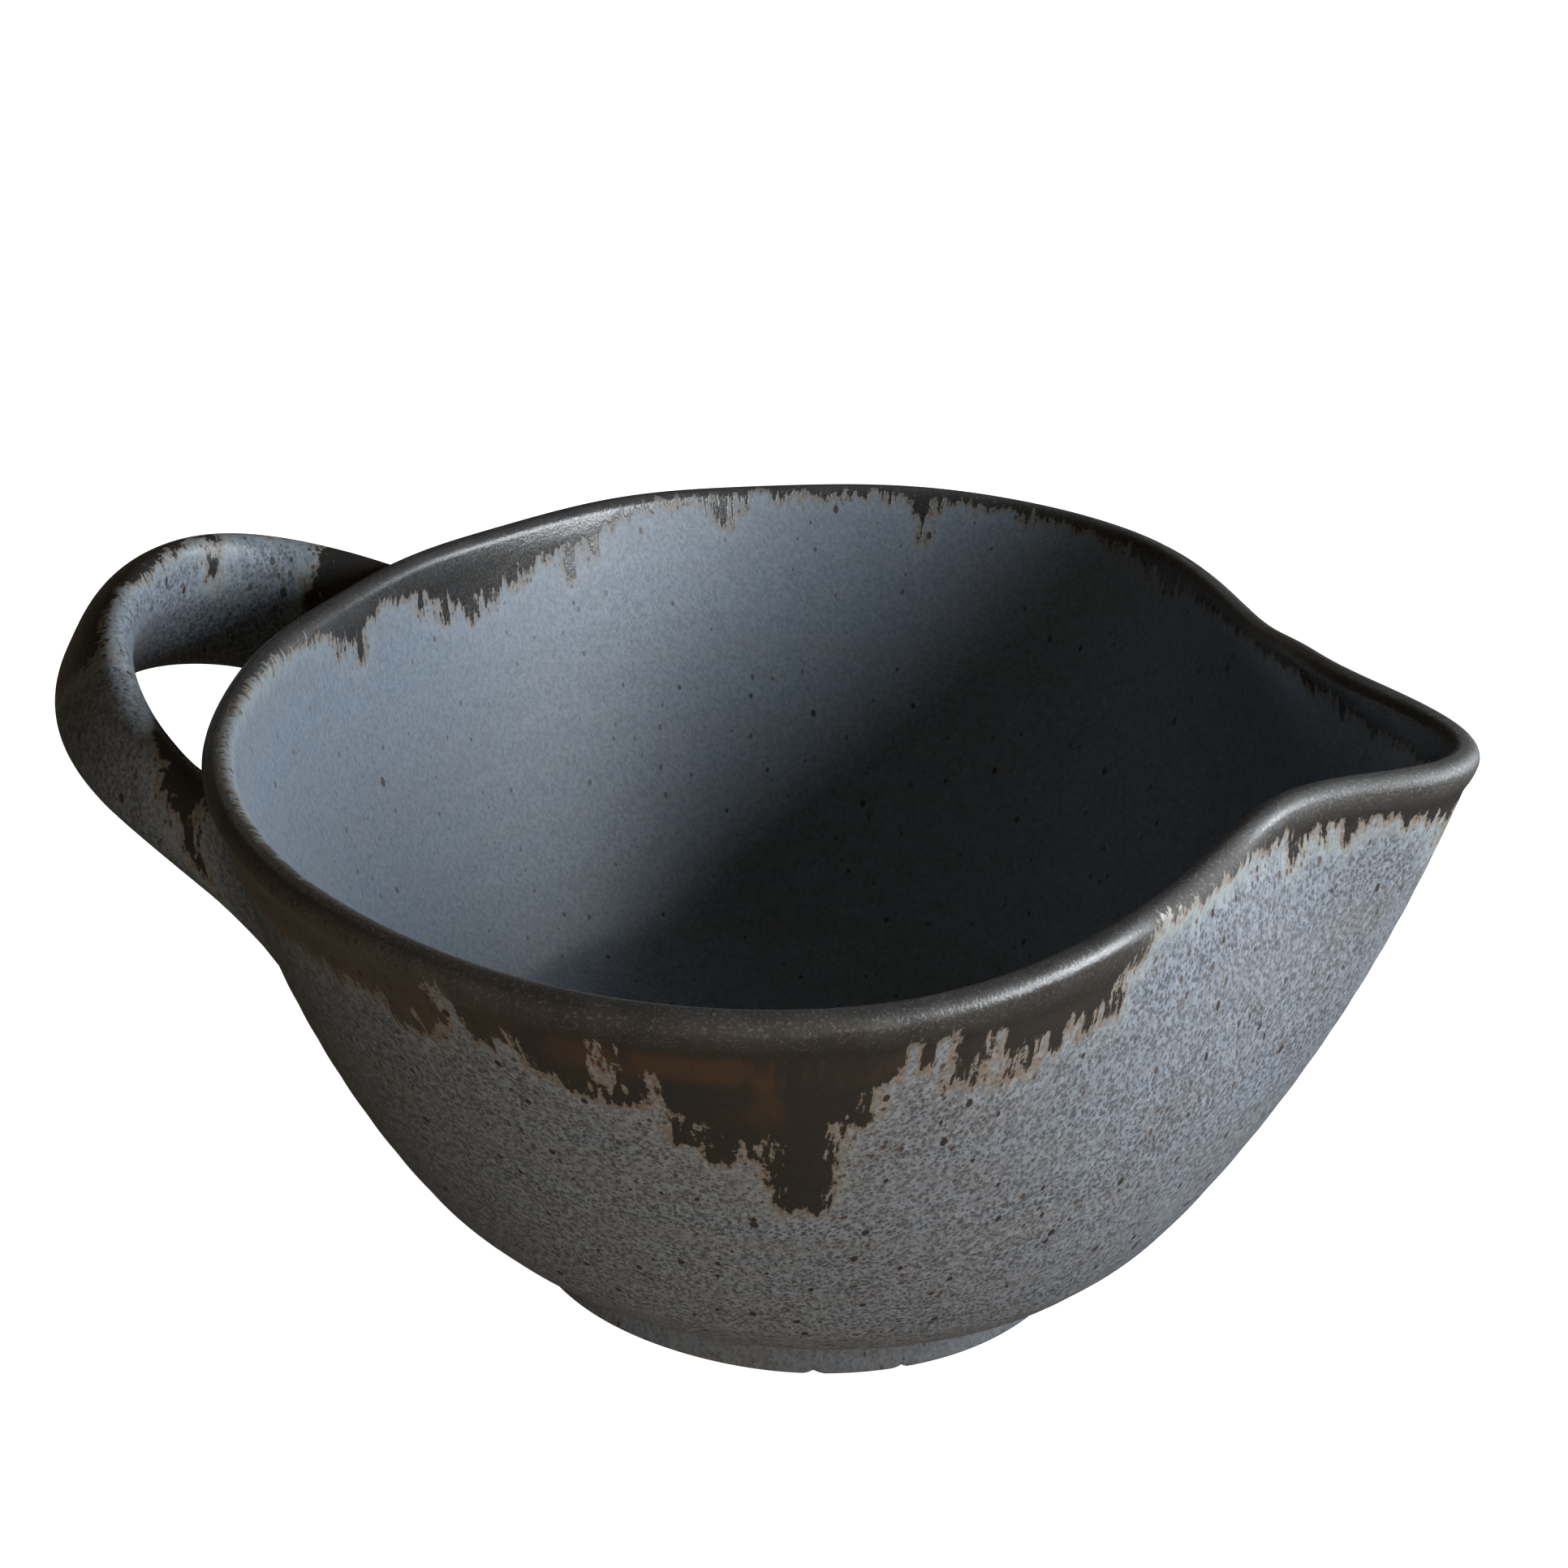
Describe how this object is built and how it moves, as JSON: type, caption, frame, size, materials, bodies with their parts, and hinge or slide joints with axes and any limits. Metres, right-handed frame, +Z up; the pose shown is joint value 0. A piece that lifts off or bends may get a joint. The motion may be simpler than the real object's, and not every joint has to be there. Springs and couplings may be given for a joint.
{
  "type": "mixing bowl",
  "caption": "Wheel-thrown stoneware mixing bowl with a pulled pouring spout, a loop handle opposite the spout and a turned foot ring.",
  "frame": {"origin": "centre of the foot ring's resting face", "axes": "+X towards the pouring spout, +Z up out of the bowl, +Y to the left of someone pouring"},
  "size_m": [0.2386, 0.2304, 0.1078],
  "materials": {
    "satin_glaze": "satin blue-grey glaze that breaks dark metallic brown at the rim",
    "foot_glaze": "satin blue-grey glaze, wiped off the resting face"
  },
  "bodies": {
    "root": {"bowl_wall": "satin_glaze", "foot_ring": "foot_glaze", "handle_strap": "satin_glaze", "handle_left_root": "satin_glaze", "handle_right_root": "satin_glaze"}
  },
  "joints": []
}
